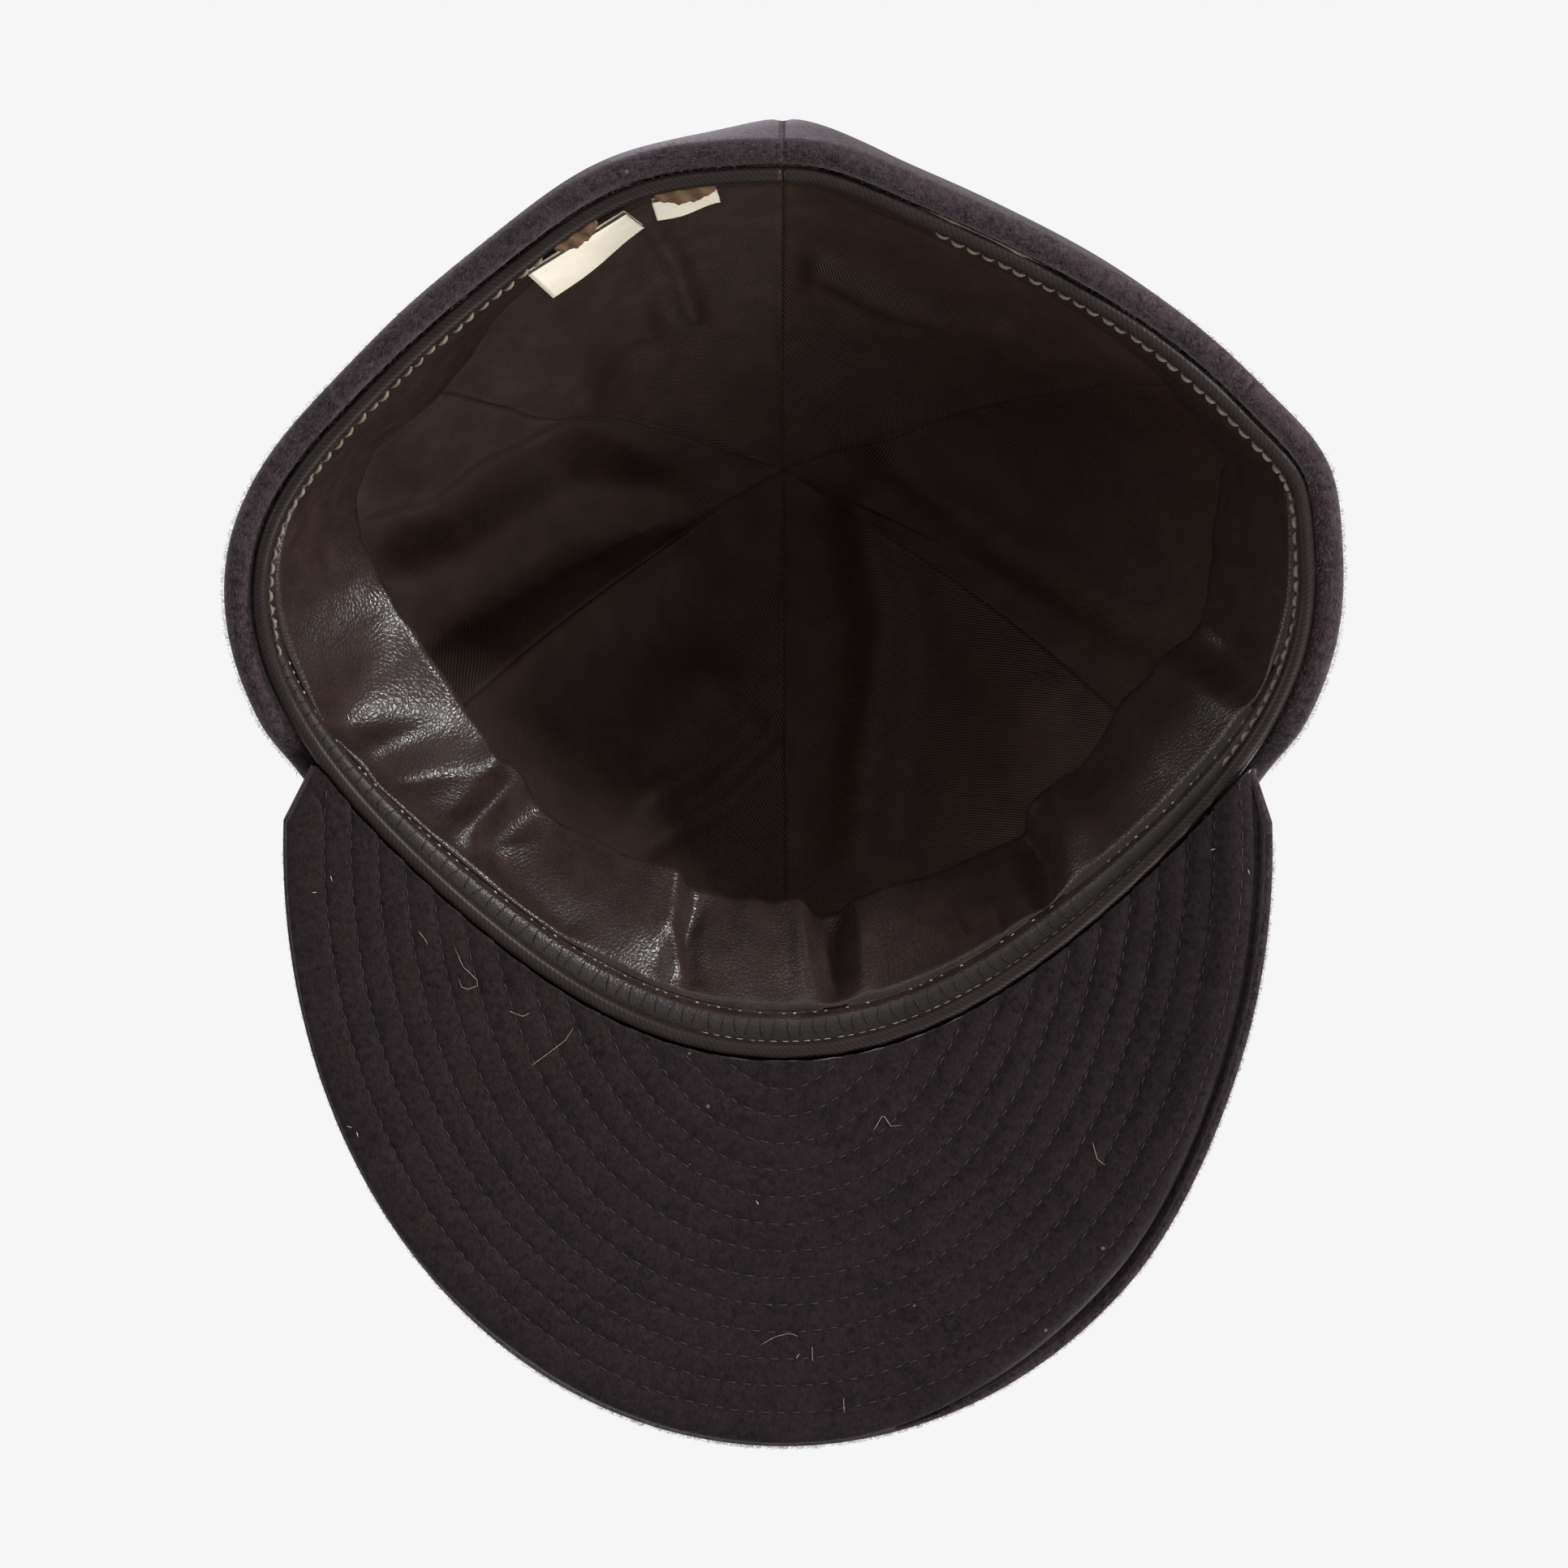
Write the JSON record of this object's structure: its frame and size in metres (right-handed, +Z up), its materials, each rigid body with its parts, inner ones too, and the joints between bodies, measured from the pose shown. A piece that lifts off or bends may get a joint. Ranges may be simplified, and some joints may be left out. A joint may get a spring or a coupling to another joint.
{
  "type": "ball cap",
  "caption": "Soft panelled wool ball cap with a stitched visor, turned hem, rippled leather sweatband on a corded edge, full lining and sewn-in labels; worn on the head.",
  "frame": {"origin": "middle of the footprint on the table that the cap stands on, upright, on its visor and rear hem", "axes": "+Z up through the crown, -Y forwards along the visor, +X to the wearer's left"},
  "size_m": [0.2252, 0.2712, 0.1198],
  "materials": {
    "wool": "napped melton wool, near black",
    "lining": "fine black twill with a slight sheen",
    "leather": "smooth black grain leather, half gloss",
    "edge_tape": "coated black tape",
    "cord": "undyed twisted cord, hidden",
    "card": "pressed visor board, hidden",
    "steel": "plain tack, hidden",
    "ribbon": "cream woven ribbon, bare"
  },
  "bodies": {
    "cap": {"crown_back_left": "wool", "crown_side_left": "wool", "crown_front_left": "wool", "crown_front_right": "wool", "crown_side_right": "wool", "crown_back_right": "wool", "lining_back_left": "lining", "lining_side_left": "lining", "lining_front_left": "lining", "lining_front_right": "lining", "lining_side_right": "lining", "lining_back_right": "lining", "sweatband": "leather", "edge_tape": "edge_tape", "edge_cord": "cord", "visor_upper_cloth": "wool", "visor_lower_cloth": "wool", "visor_board": "card", "top_button": "wool", "button_tack": "steel"},
    "care_label_flap": {"care_label": "ribbon"},
    "size_label_flap": {"size_label": "ribbon"}
  },
  "joints": [
    {"name": "care_label_swing", "type": "hinge", "parent": "cap", "child": "care_label_flap", "pos_m": [0.04117, 0.1134, 0.00554], "axis": [0.8474, -0.5292, 0.0424], "range_deg": [-12, 70], "stiffness_Nm_per_rad": 0.0002},
    {"name": "size_label_swing", "type": "hinge", "parent": "cap", "child": "size_label_flap", "pos_m": [0.01976, 0.123, 0.00477], "axis": [0.9833, -0.1815, 0.0146], "range_deg": [-12, 70], "stiffness_Nm_per_rad": 0.0001}
  ]
}
